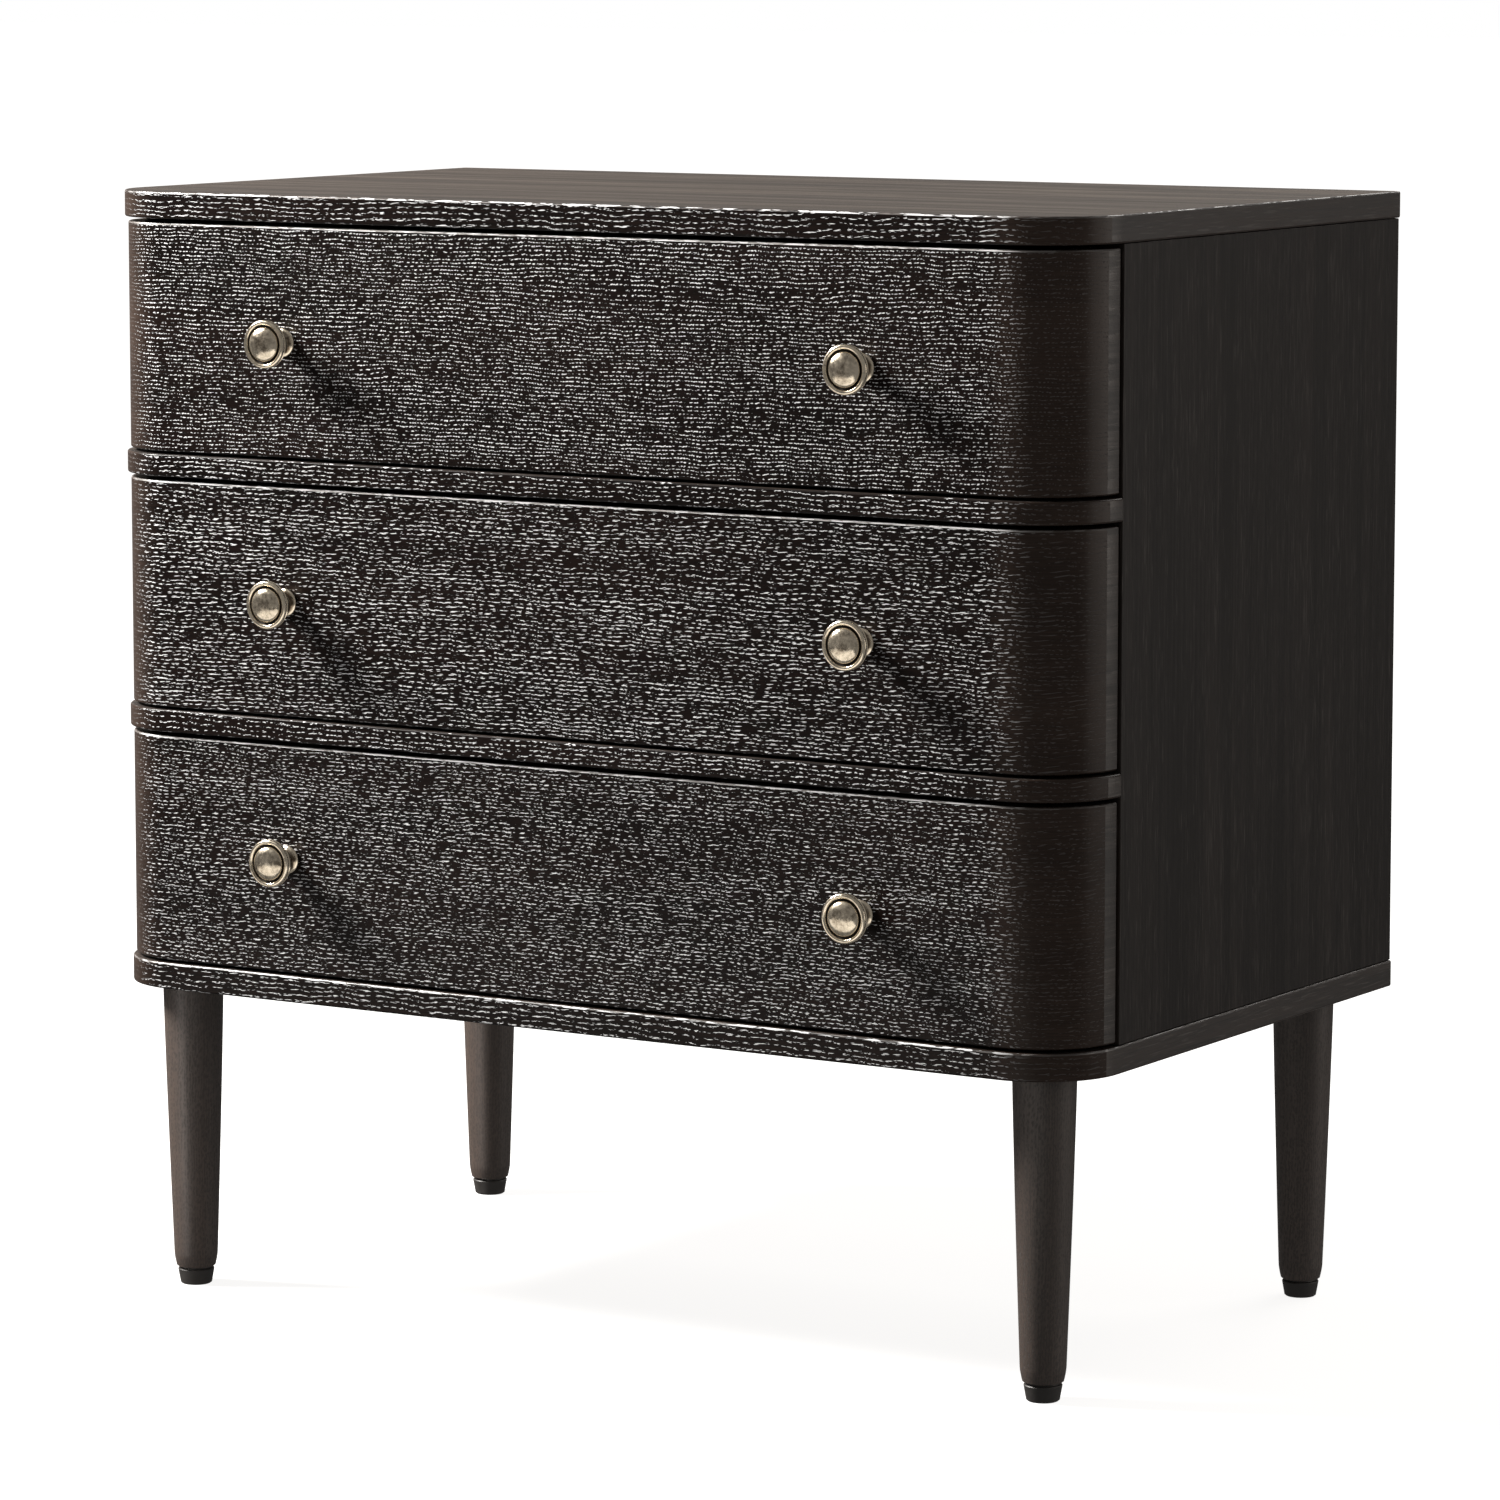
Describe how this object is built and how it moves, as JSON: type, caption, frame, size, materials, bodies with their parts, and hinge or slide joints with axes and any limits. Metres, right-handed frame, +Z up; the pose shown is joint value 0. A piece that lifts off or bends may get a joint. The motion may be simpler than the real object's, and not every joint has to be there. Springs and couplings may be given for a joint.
{
  "type": "three-drawer nightstand",
  "caption": "Dark open-pore oak nightstand with rounded front corners, sliding drawers, brass mushroom knobs and turned tapered legs.",
  "frame": {"origin": "on the floor, under the middle of the overall box, knobs included", "axes": "+X to the viewer's right, -Y towards the front with the drawers, +Z up"},
  "size_m": [0.762, 0.474, 0.756],
  "materials": {
    "dark_oak": "near-black brown stain on open-pore oak, satin",
    "drawer_wood": "clear-lacquered light wood",
    "antique_brass": "aged, with dark patina in the recesses",
    "slide_steel": "zinc plated",
    "screw_steel": "zinc plated",
    "glide_plastic": "dark moulded plastic"
  },
  "bodies": {
    "root": {"top_panel": "dark_oak", "bottom_panel": "dark_oak", "side_panel_left": "dark_oak", "side_panel_right": "dark_oak", "back_panel": "dark_oak", "divider_rail_upper": "dark_oak", "divider_rail_lower": "dark_oak", "leg_front_left": "dark_oak", "leg_front_right": "dark_oak", "leg_rear_left": "dark_oak", "leg_rear_right": "dark_oak", "glide_front_left": "glide_plastic", "glide_front_right": "glide_plastic", "glide_rear_left": "glide_plastic", "glide_rear_right": "glide_plastic", "bottom_slide_outer_left": "slide_steel", "bottom_slide_outer_right": "slide_steel", "middle_slide_outer_left": "slide_steel", "middle_slide_outer_right": "slide_steel", "top_slide_outer_left": "slide_steel", "top_slide_outer_right": "slide_steel"},
    "bottom_drawer": {"bottom_drawer_front": "dark_oak", "bottom_drawer_side_left": "drawer_wood", "bottom_drawer_side_right": "drawer_wood", "bottom_drawer_back": "drawer_wood", "bottom_drawer_bottom": "drawer_wood", "bottom_drawer_knob_left": "antique_brass", "bottom_drawer_knob_right": "antique_brass", "bottom_drawer_knob_screw_left": "screw_steel", "bottom_drawer_knob_screw_right": "screw_steel", "bottom_drawer_slide_inner_left": "slide_steel", "bottom_drawer_slide_inner_right": "slide_steel"},
    "bottom_slides": {"bottom_slide_middle_left": "slide_steel", "bottom_slide_middle_right": "slide_steel"},
    "middle_drawer": {"middle_drawer_front": "dark_oak", "middle_drawer_side_left": "drawer_wood", "middle_drawer_side_right": "drawer_wood", "middle_drawer_back": "drawer_wood", "middle_drawer_bottom": "drawer_wood", "middle_drawer_knob_left": "antique_brass", "middle_drawer_knob_right": "antique_brass", "middle_drawer_knob_screw_left": "screw_steel", "middle_drawer_knob_screw_right": "screw_steel", "middle_drawer_slide_inner_left": "slide_steel", "middle_drawer_slide_inner_right": "slide_steel"},
    "middle_slides": {"middle_slide_middle_left": "slide_steel", "middle_slide_middle_right": "slide_steel"},
    "top_drawer": {"top_drawer_front": "dark_oak", "top_drawer_side_left": "drawer_wood", "top_drawer_side_right": "drawer_wood", "top_drawer_back": "drawer_wood", "top_drawer_bottom": "drawer_wood", "top_drawer_knob_left": "antique_brass", "top_drawer_knob_right": "antique_brass", "top_drawer_knob_screw_left": "screw_steel", "top_drawer_knob_screw_right": "screw_steel", "top_drawer_slide_inner_left": "slide_steel", "top_drawer_slide_inner_right": "slide_steel"},
    "top_slides": {"top_slide_middle_left": "slide_steel", "top_slide_middle_right": "slide_steel"}
  },
  "joints": [
    {"name": "bottom_drawer_slide", "type": "slide", "parent": "root", "child": "bottom_drawer", "axis": [0, -1, 0], "range_m": [0, 0.34]},
    {"name": "bottom_slides_follow", "type": "slide", "parent": "root", "child": "bottom_slides", "axis": [0, -1, 0], "range_m": [0, 0.17]},
    {"name": "middle_drawer_slide", "type": "slide", "parent": "root", "child": "middle_drawer", "axis": [0, -1, 0], "range_m": [0, 0.34]},
    {"name": "middle_slides_follow", "type": "slide", "parent": "root", "child": "middle_slides", "axis": [0, -1, 0], "range_m": [0, 0.17]},
    {"name": "top_drawer_slide", "type": "slide", "parent": "root", "child": "top_drawer", "axis": [0, -1, 0], "range_m": [0, 0.34]},
    {"name": "top_slides_follow", "type": "slide", "parent": "root", "child": "top_slides", "axis": [0, -1, 0], "range_m": [0, 0.17]}
  ],
  "couplings": [
    {"joint": "bottom_slides_follow", "follows": "bottom_drawer_slide", "ratio": 0.5},
    {"joint": "middle_slides_follow", "follows": "middle_drawer_slide", "ratio": 0.5},
    {"joint": "top_slides_follow", "follows": "top_drawer_slide", "ratio": 0.5}
  ]
}
